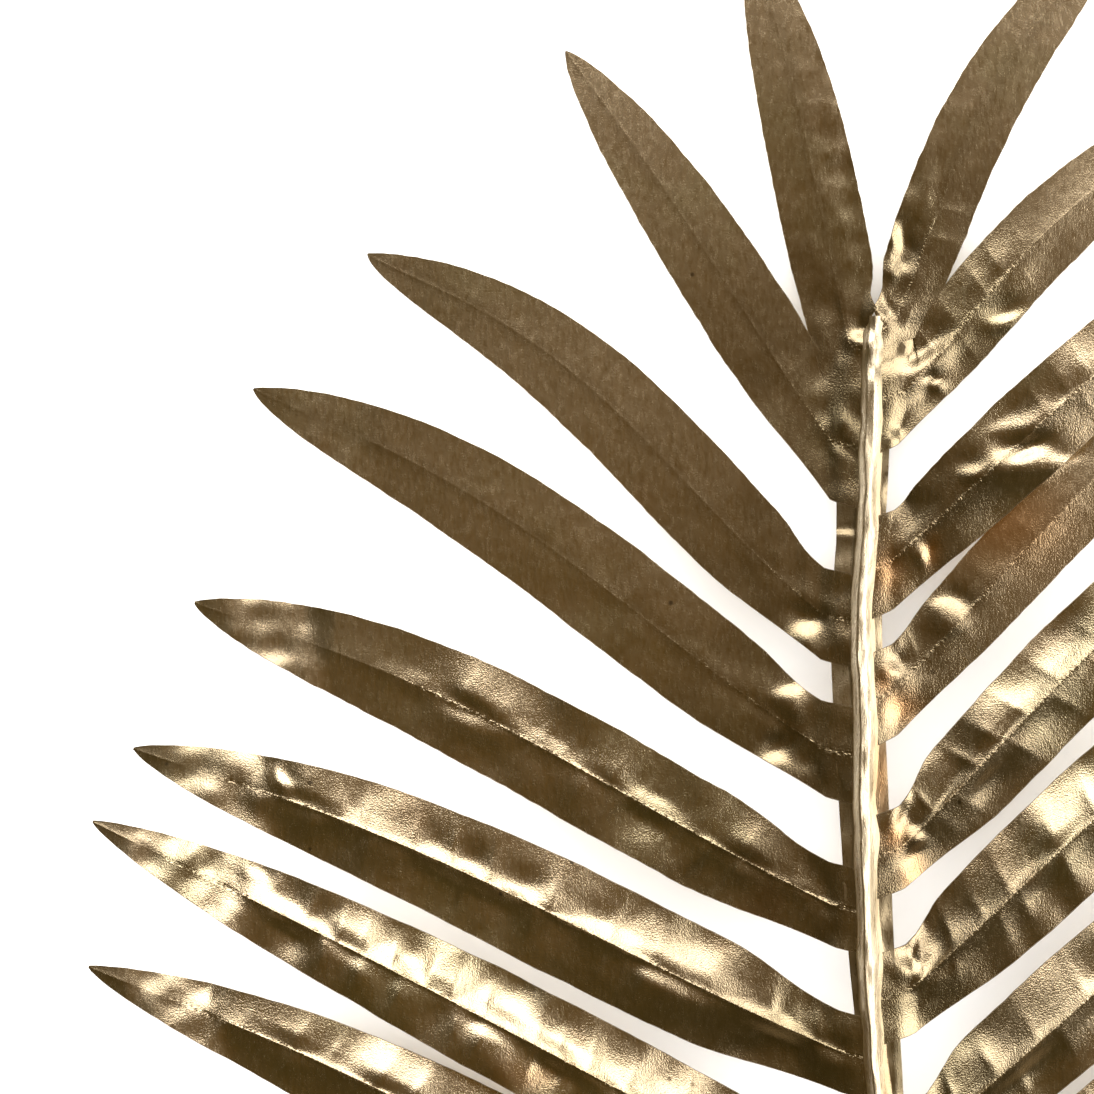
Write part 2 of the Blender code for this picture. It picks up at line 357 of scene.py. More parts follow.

# %% [markdown]
# Where a blade faces the gold of the blade or the rib beside it, a warmer copper is painted in: a painted
# reflection of gold in gold. A row says which blade it is on (0 is the rib), where, its reach each way, and how
# much of the copper shows.

# %% Painted copper reflections
CopperReflection = namedtuple("CopperReflection", "side number x y reach_x reach_y amount")
COPPER_REFLECTIONS = tuple(CopperReflection(*row) for row in (
    (1, 4, 36, 566, 18, 12, 0.9),
    (1, 4, 8.4, 514.6, 5, 4.5, 1),
    (1, 4, 3.4, 521.6, 2.4, 3.4, 1),
    (1, 3, 4.8, 552, 4.5, 6.5, 0.9),
    (1, 3, 16.8, 558, 2.2, 4.5, 1),
    (1, 5, 6.2, 479, 3.6, 4, 0.9),
    (1, 5, 11.8, 468.4, 3, 5, 0.9),
    (0, 0, 2.8, 495, 1.8, 10, 0.9),
    (0, 0, 3, 516, 1.6, 6, 0.8),
    (0, 0, 3.4, 398, 1.6, 14, 0.8),
    (-1, 7, -96, 413, 14, 5, 0.4),
))


def reflected_copper_share(side, number, x, y):
    """How much of the painted copper reflection shows at each point."""
    share = np.zeros_like(x)
    for copper_reflection in COPPER_REFLECTIONS:
        if (copper_reflection.side, copper_reflection.number) == (side, number):
            near = np.exp(-(((x - copper_reflection.x) / copper_reflection.reach_x) ** 2) - ((y - copper_reflection.y) / copper_reflection.reach_y) ** 2)
            share = np.maximum(share, copper_reflection.amount * near)
    return share


print(len(COPPER_REFLECTIONS), "painted_copper_reflections")

# %% [markdown]
# ## The shape of one blade
#
# A blade could be a plane with a displacement map, but its outline, fold and arch all curve. Here it is a
# grid in its own two coordinates: a share of its length, and across from the lower margin to the upper one.
# Each point is placed by formula. Columns lie closer together at the midrib, where the fold is sharp.

# %% The grid of a blade
LENGTH_STEPS = 250
HALF_STEPS = 19
CLOSER_TO_TIP = 1.08
CLOSER_TO_MIDRIB = 1.5


def blade_grid():
    """Each grid point's share of the length, and its place across from -1 to 1."""
    steps = np.linspace(-1, 1, 2 * HALF_STEPS + 1)
    columns = np.sign(steps) * np.abs(steps) ** CLOSER_TO_MIDRIB
    rows = TIP_SHARE * (1 - (1 - np.linspace(0, 1, LENGTH_STEPS + 1)) ** CLOSER_TO_TIP)
    return np.meshgrid(rows, columns, indexing="ij")


def blade_length(blade):
    """A blade's rough length in mm, from the rib to its tip."""
    return math.hypot(blade.tip_x, blade.tip_y - blade.foot_end)


print("a blade's grid has", blade_grid()[0].shape, "points")

# %% [markdown]
# The outline is a taper between a narrow foot and a rounded tip, with the slow waves and nicks of a cut margin.

# %% The outline
MARGIN_WAVE = 0.006  # as a share of the half width
MARGIN_NICK = 0.04
LEAST_HALF_WIDTH = 0.05


def blade_half_width(blade, share):
    """Half the outline's width in mm."""
    foot = 1 - (1 - FOOT_WIDTH) * np.exp(-share / FOOT_SPREAD)
    point = (1 - share**blade.fullness) ** TIP_ROUNDING
    return blade.width / 2 * foot * point


def uneven_half_width(blade, side, number, share, across):
    """The half width with the unevenness of a cut margin."""
    half = blade_half_width(blade, share)
    seed = number * 7 + (0 if side < 0 else 3)
    waves = swell(share * 200, across, 22.0, seed) * MARGIN_WAVE * half
    nicks = swell(share * 200, across * 9, 6.0, seed) * MARGIN_NICK
    return np.maximum(half + (waves + nicks), LEAST_HALF_WIDTH)


def foot_flare(side, number, s, across):
    """How far a margin is moved outwards near the foot, in mm."""
    moved = 0 * s * across
    for flare in FLARES:
        if (flare.side, flare.number) == (side, number):
            towards = np.clip(across * flare.margin, 0, 1)
            near = np.exp(-(((s - flare.at) / flare.reach) ** 2))
            moved = moved + flare.margin * flare.by * towards * near
    return moved


print("left blade 7 is", np.round(2 * blade_half_width(Blade(*LEFT[6]), 0.4), 1), "mm wide")

# %% [markdown]
# The midrib bows upwards between foot and tip, and the blade widens square to it. A bow of the form
# t^a (1 - t)^b needs only two numbers.


# %% The midrib's course
def midrib(blade, side, foot, share):
    """The midrib's place in plan, and its direction there."""
    chord = np.array((blade.tip_x, blade.tip_y)) - foot[:2]
    up = np.array((-chord[1], chord[0])) * side / np.linalg.norm(chord)
    start = BOW_START[side]
    top = start / (start + BOW_END)

    def place(at):
        bowed = (at / top) ** start * ((1 - at) / (1 - top)) ** BOW_END
        return foot[:2] + chord * at[..., None] + up * (blade.bow * bowed)[..., None]

    ahead = place(np.minimum(share + 0.01, 1.0)) - place(np.maximum(share - 0.01, 0.0))
    return place(share), ahead / np.linalg.norm(ahead, axis=-1, keepdims=True)


print("a left midrib is bowed most at", round(BOW_START[-1] / (BOW_START[-1] + BOW_END), 2))

# %% [markdown]
# Many tips are bent across a soft crease and lean the other way, which turns them pale or dark as a whole.

# %% The creased tips
CREASE_BEFORE = 2.0  # how far before its place the crease starts, in mm
CREASE_WIDTH = 10.0
CREASE_SLANT = 0.35
POINT_FROM = 0.93  # the share of the length where the bend fades again
POINT_OVER = 0.04
POINT_UNBENDS = 0.9


def tip_share(crumple, s, t, length):
    """0 along the blade and 1 in its tip, past a crease across it."""
    crease = crumple.tip_from * length - CREASE_BEFORE + CREASE_SLANT * t
    point = ease((s / length - POINT_FROM) / POINT_OVER)
    return ease((s - crease) / CREASE_WIDTH) * (1 - POINT_UNBENDS * point)


print("creased tips on the left:", [number for number in range(1, 13) if crumple_of(-1, number).twist])

# %% [markdown]
# ## The foil's buckles
#
# The foil is buckled at three sizes: ruffles in a row on both sides of the midrib, swells across the blade, and
# a fine unevenness. All three are in the mesh, and the midrib itself stands up as a low bead.

# %% The relief of a blade
RUFFLE_LEAN = 0.35  # how far the rows may lean for each mm from the midrib
RUFFLE_DEPTH = 0.95
RUFFLE_RISE = 2.4  # how far from the midrib they are deep
RUFFLE_FADES_FROM, RUFFLE_FADES_OVER, RUFFLE_FADES_BY = 3.5, 8, 0.8
RUFFLES_ABOVE = (7.0, 19.0)  # shortest and longest
RUFFLES_BELOW = (7.0, 21.0)
BROAD_SWELL, BROAD_LENGTH = 0.42, 31.0
SMALL_SWELL, SMALL_LENGTH = 0.07, 15.0
FINE_LENGTH = 3.4
BEAD_HEIGHT, BEAD_WIDTH = 0.14, 0.42
LEAST_STRENGTH = 0.06
FOOT_STRENGTH, FOOT_REACH = 0.25, 0.12


def strength_along(crumple, share):
    """How strongly the foil is buckled: up to the blade's reach, and a little more by the foot."""
    fades = (share - crumple.reach * 0.6) / (crumple.reach * 0.4 + 1e-6)
    own_amount = crumple.amount * (1 - ease(fades))
    return own_amount + FOOT_STRENGTH * np.exp(-share / FOOT_REACH) + LEAST_STRENGTH


def ruffles(s, t, length, seed):
    """The rows of domes on both sides of the midrib."""
    away = np.abs(t)
    lean = np.random.default_rng(seed).uniform(-RUFFLE_LEAN, RUFFLE_LEAN)
    above = scallops(s + lean * away, length, seed, *RUFFLES_ABOVE) - 0.35
    below = 0.9 * scallops(s - lean * away, length, seed + 1, *RUFFLES_BELOW) - 0.3
    fading = RUFFLE_FADES_BY * ease((away - RUFFLE_FADES_FROM) / RUFFLE_FADES_OVER)
    return np.where(t > 0, above, below) * (1 - np.exp(-away / RUFFLE_RISE)) * (1 - fading)


def blade_relief(side, number, crumple, s, t, half, length, x, y):
    """The foil's relief in mm, and how strongly it is buckled."""
    seed = number * 10 + (0 if side < 0 else 5)
    away = np.abs(t)
    strength = strength_along(crumple, s / length)
    relief = -RUFFLE_DEPTH * strength * ruffles(s, t, length, seed)
    relief += BROAD_SWELL * strength * swell(x, y, BROAD_LENGTH, seed + 2) * ease(away / 5)
    relief += SMALL_SWELL * strength * swell(x, y, SMALL_LENGTH, seed + 3) * ease(away / 2)
    relief += (0.002 + 0.004 * strength) * swell(x, y, FINE_LENGTH, seed + 4)
    past = tip_share(crumple, s, t, length)
    bead = np.exp(-((t / BEAD_WIDTH) ** 2)) * (1 - past)
    relief += BEAD_HEIGHT * np.clip(strength, 0.1, 1) * bead
    relief += past * crumple.twist * (0.8 * swell(x, y, 12.0, seed + 6) - t - 0.6 * half)
    return relief, strength


print("blade 7's middle is buckled by", np.round(strength_along(crumple_of(-1, 7), 0.5), 2))

# %% [markdown]
# The dents by the rib cross from the web into the feet of the blades without a break, so every piece reads them
# from its place in the drawing. Their outlines are warped a little, as no pressed dent is a clean oval.

# %% The relief round the rib
RIB_CLEAR = 2.5  # the rib itself has none of it, in mm from its centre
DIMPLES_TO, DIMPLES_FADE = 7, 11
FIRST_BLADE, BLADES_OVER = 165.0, 40
DENT_WARP, DENT_WARP_LENGTH = 0.5, 12.0


def joint_relief(x, y):
    """The height of the dents in mm."""
    offset = np.abs(x - along(RIB, 1, np.clip(y, 0.0, RIB[-1][0])))
    fading = np.exp(-((np.maximum(offset - DIMPLES_TO, 0) / DIMPLES_FADE) ** 2))
    beside = ease((offset - RIB_CLEAR) / RIB_CLEAR) * fading
    leafy = ease((y - FIRST_BLADE) / BLADES_OVER)
    pinched = 1 - np.abs(swell(x, y * 0.8, 17.0, 74))
    height = beside * leafy * (0.12 * swell(x, y * 0.8, 10.0, 73) + 0.14 * pinched)
    warp_x = DENT_WARP * swell(x, y, DENT_WARP_LENGTH, 77)
    x, y = x + warp_x, y + DENT_WARP * swell(x, y, DENT_WARP_LENGTH, 78)
    for dent in DENTS:
        right, up = x - dent.x, y - dent.y
        turn = math.radians(dent.faces)
        cosine, sine = math.cos(turn), math.sin(turn)
        facing, beside_it = right * cosine + up * sine, up * cosine - right * sine
        near = np.exp(-((beside_it / dent.long) ** 2) - (facing / dent.wide) ** 2)
        height = height - dent.slope * facing * near
    return height


print("beside the first dent:", np.round(joint_relief(np.full(1, -7.6), np.full(1, 594.4)), 2))

# %% [markdown]
# ## From the outline to the blade's surface
#
# A blade's foot lies along the web, and from there the blade turns until it is square to its midrib. No seam
# shows between the two on the real frond, so the first rows run over the web and end in the rib's flank.

# %% The surface of a blade
FOOT_ROWS = 0.02  # the share of a blade's rows that run over the web
INTO_THE_RIB = {-1: 2.8, 1: 1.6}  # how far from the rib's centre they end, in mm
OVER_THE_WEB = 0.16  # how far they lie above the web
FOOT_OVERLAP = 0.8  # how far neighbouring feet overlap along the web
FOOT_SINKS, SINKS_OVER = 0.16, 20
FOLD_FROM = 0.08  # the share of the length where the fold is at its full depth
RELIEF_FROM = 0.03
TIP_UNFOLDS = 0.8
SHEET = 0.36  # a blade's thickness
CLEAR_OF_FLOOR = 0.15
# how far from the foot the painted shade reaches, in mm
SHADE_REACH_FROM_FOOT = 58


def fold_fall(blade, crumple, share, across, half, past):
    """How far each point lies below the midrib for the fold along it."""
    deepened = np.where(across > 0, crumple.upper_fold, crumple.lower_fold)
    slope = deepened * (1 - TIP_UNFOLDS * past) * math.tan(math.radians(blade.fold)) * ease(share / FOLD_FROM)
    slope = slope * (1 - FOLD_FADE * share**3)
    return slope * half * ((1 + SHOULDER) * np.abs(across) - SHOULDER * across**2)


def blade_surface(blade, side, number):
    """The points of a blade's upper face in drawing mm, and its two attributes."""
    crumple = crumple_of(side, number)
    share, across = blade_grid()
    length = blade_length(blade)
    half = uneven_half_width(blade, side, number, share, across)
    s, t = share * length, across * half

    # in plan: from the web's line at the foot to square across the midrib
    foot = (web_edge(blade.foot_start, side) + web_edge(blade.foot_end, side)) / 2
    foot_start, foot_end = blade.foot_start - FOOT_OVERLAP, blade.foot_end + FOOT_OVERLAP
    foot_y = foot_start + (foot_end - foot_start) * (across + 1) / 2
    from_foot = web_edge(foot_y, side) - foot
    turned = ease(share / FOOT_TURN[side])
    centre, ahead = midrib(blade, side, foot, share)
    square = np.stack([-ahead[..., 1], ahead[..., 0]], axis=-1) * side
    spread = (t * turned + foot_flare(side, number, s, across))[..., None]
    flat = centre + square * spread + from_foot[..., :2] * (1 - turned)[..., None]
    # the first rows run over the web into the rib's flank
    first = np.clip(1 - share / FOOT_ROWS, 0, 1)
    run_in = first * (web_reach(foot_y, side) - INTO_THE_RIB[side])
    x, y = flat[..., 0] - side * run_in, flat[..., 1]

    # in height: the arch, the fold, the dents by the rib and the foil's own buckles
    rise = foot[2] * (1 - share) + blade.tip_z * share + blade.arch * 4 * share * (1 - share)
    rise -= FOOT_SINKS * s * np.exp(-s / SINKS_OVER)
    fall = fold_fall(blade, crumple, share, across, half, tip_share(crumple, s, t, length))
    height = rise - fall + from_foot[..., 2] * (1 - turned) + SHEET / 2 + joint_relief(x, y)
    relief, strength = blade_relief(side, number, crumple, s, t, half, length, x, y)
    height = height + relief * ease(share / RELIEF_FROM)
    height = height + WEB_DROP * run_in + OVER_THE_WEB * ease(first * 3)
    points = np.stack([x, y, np.maximum(height, SHEET + CLEAR_OF_FLOOR)], axis=-1)

    # painted shade, darker towards the foot by the rib, and the painted copper reflections
    shade_by_foot = np.exp(-((s / SHADE_REACH_FROM_FOOT) ** 2))
    own = np.stack([strength, t, np.abs(across)], axis=-1)
    return points, own, np.stack([reflected_copper_share(side, number, x, y), shade_by_foot, 0 * shade_by_foot], axis=-1)


sample, _, _ = blade_surface(Blade(*LEFT[4]), -1, 5)
print("one blade's grid", sample.shape, "spans", np.round(np.ptp(sample.reshape(-1, 3), axis=0), 1), "mm")

# %% [markdown]
# ## From grids to sheets
#
# A grid is a surface without thickness. The back of the sheet is the same grid moved along its normals, and
# a rim of faces joins the two, so the blade is a closed body with a thin cut edge.


# %% Closing a sheet
def grid_normals(points):
    """Unit normals of a grid of points."""
    down, across = np.gradient(points, axis=0), np.gradient(points, axis=1)
    normals = np.cross(across, down)
    normals = normals / np.linalg.norm(normals, axis=-1, keepdims=True)
    return normals * np.sign(normals[..., 2].mean())


def sheet_quads(rows, columns, turned_over):
    """The quads of a sheet of that many rows and columns, with both sides and the rim."""
    index = np.arange(rows * columns).reshape(rows, columns)
    top = np.stack([index[:-1, :-1], index[1:, :-1], index[1:, 1:], index[:-1, 1:]], axis=-1).reshape(-1, 4)
    ring = np.concatenate([index[0, :], index[1:, -1], index[-1, -2::-1], index[-2:0:-1, 0]])
    following = np.roll(ring, -1)
    under = rows * columns
    rim = np.stack([ring, following, following + under, ring + under], axis=-1)
    quads = np.concatenate([top, top[:, ::-1] + under, rim])
    return quads[:, ::-1] if turned_over else quads


print("a blade has", len(sheet_quads(*sample.shape[:2], False)), "faces")

# %% [markdown]
# Filling a mesh through foreach_set is far faster than lists. Two attributes go with the points: "own" holds
# the crumpling, the mm from the midrib and how near the margin is, and "tone" the painted copper reflection and
# the painted shade by the foot.

# %% Filling a mesh
SHARP_FROM = math.radians(55)


def fill_mesh(name, points, quads, own, tone):
    """An object from points in drawing mm and quads, with two attributes on its points."""
    mesh = bpy.data.meshes.new(name)
    mesh.vertices.add(len(points))
    mesh.vertices.foreach_set("co", to_frame(points).astype(np.float32).ravel())
    mesh.loops.add(quads.size)
    mesh.loops.foreach_set("vertex_index", quads.astype(np.int32).ravel())
    mesh.polygons.add(len(quads))
    mesh.polygons.foreach_set("loop_start", np.arange(0, quads.size, 4, dtype=np.int32))
    mesh.update(calc_edges=True)
    mesh.validate()
    for title, values in (("own", own), ("tone", tone)):
        attribute = mesh.attributes.new(title, "FLOAT_VECTOR", "POINT")
        attribute.data.foreach_set("vector", values.astype(np.float32).ravel())
    mesh.shade_smooth()
    mesh.set_sharp_from_angle(angle=SHARP_FROM)
    obj = bpy.data.objects.new(name, mesh)
    bpy.context.scene.collection.objects.link(obj)
    return obj


def both_sides(upper, lower):
    """The rows of two grids as one list."""
    return np.concatenate([upper.reshape(-1, 3), lower.reshape(-1, 3)])


def blade_object(name, blade, side, number, material):
    """A blade as a closed sheet."""
    points, own, tone = blade_surface(blade, side, number)
    under = points - grid_normals(points) * SHEET
    quads = sheet_quads(*points.shape[:2], side > 0)
    obj = fill_mesh(name, both_sides(points, under), quads, both_sides(own, own), both_sides(tone, tone))
    obj.data.materials.append(material)
    return obj


print("edges steeper than", round(math.degrees(SHARP_FROM)), "degrees stay sharp")

# %% [markdown]
# ## The rib and its webs
#
# Among the blades the rib is a low crest with a steep flank on its left and a long one on its right, between
# thin webs of the same foil. Below the blades it is a round stalk. A tube with two planes joined on would show
# hard creases, so one cross-section goes over from the stalk to the crest. The wrinkles run along it.

# %% The crest's section
CREST_LEFT_OF_CENTRE = 1.9
CREST_RUN_LEFT, CREST_RUN_RIGHT = 2.2, 4.9
CREST_RISE = 0.72  # as a share of the rib's half height


def rounded_tent(offset, run_left, run_right):
    """1 on a line and 0 beyond its runs, with even flanks and a rounded top and foot."""
    t = np.clip(1 - np.where(offset < 0, -offset / run_left, offset / run_right), 0, 1)
    return t - np.sin(math.tau * t) / math.tau * 0.4


def crest_share(offset, y):
    """The crest's height from 0 to 1, along a line that wanders a little."""
    wandering = 0.35 * swell(0 * y, y, 60.0, 75) + 0.16 * swell(0 * y, y, 17.0, 79)
    run_right = CREST_RUN_RIGHT + 0.3 * swell(0 * y, y, 24.0, 80)
    return rounded_tent(offset + (CREST_LEFT_OF_CENTRE + wandering), CREST_RUN_LEFT, run_right)


def rib_wrinkle(offset, y):
    """Fine wrinkles along the rib, in mm."""
    fine = swell(offset * 9, y, 24.0, 71) * 0.018 + swell(offset * 3, y, 11.0, 72) * 0.035
    return fine + swell(offset * 1.5, y, 4.5, 81) * 0.02


print("the crest rises", round(CREST_RISE * RIB[4][4], 1), "mm")

# %% [markdown]
# The rachis is an upper and a lower grid, so that the same functions close it as close the blades.

# %% The rachis
SECTION_EVERY = 0.9
HALF_SECTION = 30
RIB_PART = 0.62  # the share of the columns that lie on the rib
WEB_SHEET = 0.36  # the webs' thickness
LEAST_SHEET = 0.3
LEAST_WEB = 1.03  # its least reach, in half widths of the rib
RACHIS_OVER_FLOOR = 0.02
CREST_FROM, CREST_OVER = 150.0, 60


def rachis_plan():
    """Each point's x and y, its offset from the rib's centre, and the section's reach on its side."""
    y = np.append(np.arange(0.0, RIB[-1][0], SECTION_EVERY), RIB[-1][0])
    half_width = along(RIB, 3, y)[:, None]
    steps = np.linspace(-1, 1, 2 * HALF_SECTION + 1)[None, :]
    left, right = (np.maximum(web_reach(y, side)[:, None], half_width * LEAST_WEB) for side in (-1, 1))
    reach = np.where(steps < 0, left, right)
    inside = np.sin(np.clip(np.abs(steps) / RIB_PART, 0, 1) * math.pi / 2) * half_width
    outside = np.clip((np.abs(steps) - RIB_PART) / (1 - RIB_PART), 0, 1)
    offset = np.sign(steps) * (inside + outside * (reach - half_width))
    x = along(RIB, 1, y)[:, None] + offset
    return x, np.broadcast_to(y[:, None], x.shape), offset, reach


def rachis_surface():
    """Upper and lower grids over the rachis in drawing mm, and its own coordinates."""
    x, y, offset, reach = rachis_plan()
    height, half_width, half_height = (along(RIB, column, y[:, 0])[:, None] for column in (2, 3, 4))
    ridge = half_height * np.sqrt(np.clip(1 - (offset / half_width) ** 2, 0, 1))
    web = height - WEB_DROP * np.abs(offset)
    crest = crest_share(offset, y)
    wrinkle = rib_wrinkle(offset, y)
    rise = CREST_RISE * half_height + 0.10 * swell(offset * 2.0, y, 13.0, 76)
    dents = joint_relief(x, y)
    # the bare stalk is round, and among the blades the rib is a crest
    leafy = ease((y - CREST_FROM) / CREST_OVER)
    tent = web + WEB_SHEET / 2 + rise * crest + wrinkle * ease(crest * 4) + dents
    stalk = height + ridge + wrinkle * 0.8
    upper = stalk * (1 - leafy) + tent * leafy
    lower = np.minimum(height - ridge, web - WEB_SHEET / 2 + dents)
    lower = np.maximum(np.minimum(lower, upper - LEAST_SHEET), RACHIS_OVER_FLOOR)
    own = np.stack([crest * leafy + (1 - leafy), offset, np.abs(offset) / reach], axis=-1)
    return np.stack([x, y, upper], axis=-1), np.stack([x, y, lower], axis=-1), own


def rachis_object(material):
    """The rib, its webs and the bare stalk as one closed body."""
    upper, lower, own = rachis_surface()
    both = both_sides(upper, lower)
    # painted reflection: copper where the rib faces the gold beside it
    copper = reflected_copper_share(0, 0, both[:, 0], both[:, 1])
    tone = np.stack([copper, 0 * copper + 1, 0 * copper], axis=-1)
    obj = fill_mesh("rachis_foil", both, sheet_quads(*upper.shape[:2], True), both_sides(own, own), tone)
    obj.data.materials.append(material)
    return obj


print("the rachis has", rachis_plan()[0].shape, "points a side")

# %% [markdown]
# ## The foil's grain and crinkle
#
# Close up, the foil has a fine brushed grain that runs parallel to the rib on every blade, small crinkles, and
# pores. These are too fine to model, and every piece shares them, so they are a node group. It reads the
# pieces' shared frame, so that the grain runs on from blade to blade.


# %% Short names for the nodes
def new_group(name, inputs, outputs):
    """An empty node group with named sockets, and its input and output nodes."""
    group = bpy.data.node_groups.new(name, "ShaderNodeTree")
    for socket_name, kind, value in inputs:
        socket = group.interface.new_socket(socket_name, in_out="INPUT", socket_type=kind)
        socket.default_value = value
    for socket_name, kind in outputs:
        group.interface.new_socket(socket_name, in_out="OUTPUT", socket_type=kind)
    return group, group.nodes.new("NodeGroupInput"), group.nodes.new("NodeGroupOutput")


def connect(tree, value, socket):
    """Put a constant on a socket, or link another socket to it."""
    if isinstance(value, (int, float, tuple)):
        socket.default_value = value
    else:
        tree.links.new(value, socket)


def new_node(tree, kind, **inputs):
    """A shader node, with its inputs given by name as constants or sockets."""
    node = tree.nodes.new("ShaderNode" + kind)
    for title, value in inputs.items():
        connect(tree, value, node.inputs[title.replace("_", " ")])
    return node


def stretched(tree, *repeats):
    """The piece's place in the frame, scaled to so many repeats a metre across, along and up."""
    place = new_node(tree, "TexCoord").outputs["Object"]
    return new_node(tree, "Mapping", Vector=place, Scale=repeats).outputs["Vector"]


def noise(tree, vector, detail=2.0, roughness=0.5):
    """Clouds from 0 to 1."""
    node = new_node(tree, "TexNoise", Vector=vector, Scale=1.0, Detail=detail, Roughness=roughness)
    return node.outputs["Fac"]


def remap(tree, value, low, high, to_low=0.0, to_high=1.0):
    """A value between two bounds, carried softly to two others."""
    node = new_node(tree, "MapRange", Value=value, From_Min=low, From_Max=high, To_Min=to_low, To_Max=to_high)
    node.interpolation_type = "SMOOTHSTEP"
    return node.outputs["Result"]


def calculate(tree, operation, *values):
    """The result of one operation on constants or sockets."""
    node = new_node(tree, "Math")
    node.operation = operation
    for socket, value in zip(node.inputs, values):
        connect(tree, value, socket)
    return node.outputs["Value"]


def times(tree, first, second):
    """One value times another."""
    return calculate(tree, "MULTIPLY", first, second)


def mix_colour(tree, share, first, second):
    """The first colour with a share of the second over it."""
    node = new_node(tree, "Mix")
    node.data_type = "RGBA"
    for title, value in (("Factor", share), ("A", first), ("B", second)):
        connect(tree, value, node.inputs[title])
    # the colour sockets of a Mix node share their names with its other types
    return node.outputs[2]


print("nodes ready")

# %% [markdown]
# The grain is long along the frond and short across it, the crinkle is a few millimetres wide, and the pores
# are smaller than either.


# %% The grain group
def foil_grain_group():
    """Heights from 0 to 1: a brushed grain along the frond, crinkles, and fine pores."""
    heights = ("Grain", "Crinkle", "Pores")
    group, _, out = new_group("foil_grain", [], [(height, "NodeSocketFloat") for height in heights])
    grain = noise(group, stretched(group, 1500, 380, 600), detail=3.0, roughness=0.6)
    crinkle = noise(group, stretched(group, 420, 330, 300), detail=4.0, roughness=0.55)
    pores = noise(group, stretched(group, 2600, 2300, 2000), detail=1.0)
    for height, value in zip(heights, (grain, crinkle, pores)):
        group.links.new(value, out.inputs[height])
    return group


foil_grain = foil_grain_group()
print("built", foil_grain.name)

# %% [markdown]
# ## The bronze of the foil
#
# Most of the foil is a brown bronze, with olive and copper clouds a few centimetres wide, and small dark
# specks where the metal coat has missed. The clouds are broad noise between three tones, and the specks come
# from a cell pattern with all but a few cells masked out.


# %% The colour group
TONES = (
    ("Bronze", (0.74, 0.61, 0.42, 1)),
    ("Olive", (0.71, 0.61, 0.40, 1)),
    ("Copper", (0.76, 0.57, 0.37, 1)),
    ("Speck", (0.10, 0.07, 0.04, 1)),
)
SPECK_RARITY = 0.86
SPECK_DARKNESS = 0.75


def foil_specks(group):
    """1 on a few small dark specks and 0 elsewhere."""
    cells = new_node(group, "TexVoronoi", Vector=stretched(group, 150, 150, 150), Scale=1.0)
    chosen = new_node(group, "SeparateColor", Color=cells.outputs["Color"])
    rare = calculate(group, "GREATER_THAN", chosen.outputs["Red"], SPECK_RARITY)
    near = remap(group, cells.outputs["Distance"], 0.05, 0.14, 1.0, 0.0)
    return times(group, rare, near)


def foil_colour_group():
    """The foil's base colour over the frond."""
    tones = [(tone, "NodeSocketColor", colour) for tone, colour in TONES]
    group, start, out = new_group("foil_colour", tones, [("Color", "NodeSocketColor")])
    olive = remap(group, noise(group, stretched(group, 22, 22, 22), detail=3.0), 0.48, 0.66)
    copper = remap(group, noise(group, stretched(group, 34, 30, 31), detail=3.0), 0.62, 0.80)
    fine = remap(group, noise(group, stretched(group, 900, 180, 400), detail=3.0), 0.3, 0.7, 0.94, 1.05)
    colour = mix_colour(group, olive, start.outputs["Bronze"], start.outputs["Olive"])
    colour = mix_colour(group, copper, colour, start.outputs["Copper"])
    scaled = new_node(group, "VectorMath", Vector=colour)
    scaled.operation = "SCALE"
    connect(group, fine, scaled.inputs["Scale"])
    specks = times(group, foil_specks(group), SPECK_DARKNESS)
    colour = mix_colour(group, specks, scaled.outputs["Vector"], start.outputs["Speck"])
    group.links.new(colour, out.inputs["Color"])
    return group


foil_colour = foil_colour_group()
print("built", foil_colour.name)

# %% [markdown]
# ## The blades' foil
#
# The midrib is a thin beaded line, with painted shade a little darker on both sides. The cut edge is a hair of
# dark dry leaf. Near the foot the foil is darker in patches, a painted shade, and the copper is a painted
# reflection. The shader is a plain metal with a satin roughness, because the metal coat hides the leaf below
# it.

# %% What both materials share
# the copper of the painted reflections of gold in gold
REFLECTED_COPPER = (0.84, 0.52, 0.27, 1)
# the darker colour of the painted shade by the rib and the feet
PAINTED_SHADE = (0.30, 0.24, 0.14, 1)


def add_group(tree, group):
    """A shared group's node in a material."""
    node = new_node(tree, "Group")
    node.node_tree = group
    return node


def bump(tree, height, strength, distance, normal=None):
    """A normal for heights from 0 to 1, at most this distance in metres."""
    node = new_node(tree, "Bump", Height=height, Strength=strength, Distance=distance)
    if normal is not None:
        tree.links.new(normal, node.inputs["Normal"])
    return node.outputs["Normal"]


def written(tree, name):
    """The three values that the grid wrote into the mesh under this name."""
    attribute = new_node(tree, "Attribute")
    attribute.attribute_name = name
    return new_node(tree, "SeparateXYZ", Vector=attribute.outputs["Vector"]).outputs


def metal(name):
    """A metal material, with its tree and its shader."""
    material = bpy.data.materials.new(name)
    material.use_nodes = True
    shader = material.node_tree.nodes["Principled BSDF"]
    shader.inputs["Metallic"].default_value = 1.0
    return material, material.node_tree, shader


def patches(tree, low, high):
    """Cloudy patches between two values, a few centimetres wide."""
    return remap(tree, noise(tree, stretched(tree, 60, 50, 55), detail=3.0), 0.3, 0.7, low, high)


print("both use", foil_grain.name, "and", foil_colour.name)

# %% [markdown]
# The blades' roughness follows the crinkle and the grain, so a highlight breaks up into small glints. The
# pores glint where the foil is stretched, on the crumpled blades, and hardly at all on the smooth ones.

# %% The blade material
# the colour of the painted shade along both sides of the midrib
MIDRIB_SHADE = (0.2, 0.14, 0.07, 1)
CUT_EDGE = (0.16, 0.11, 0.06, 1)
SATIN = (0.235, 0.265)


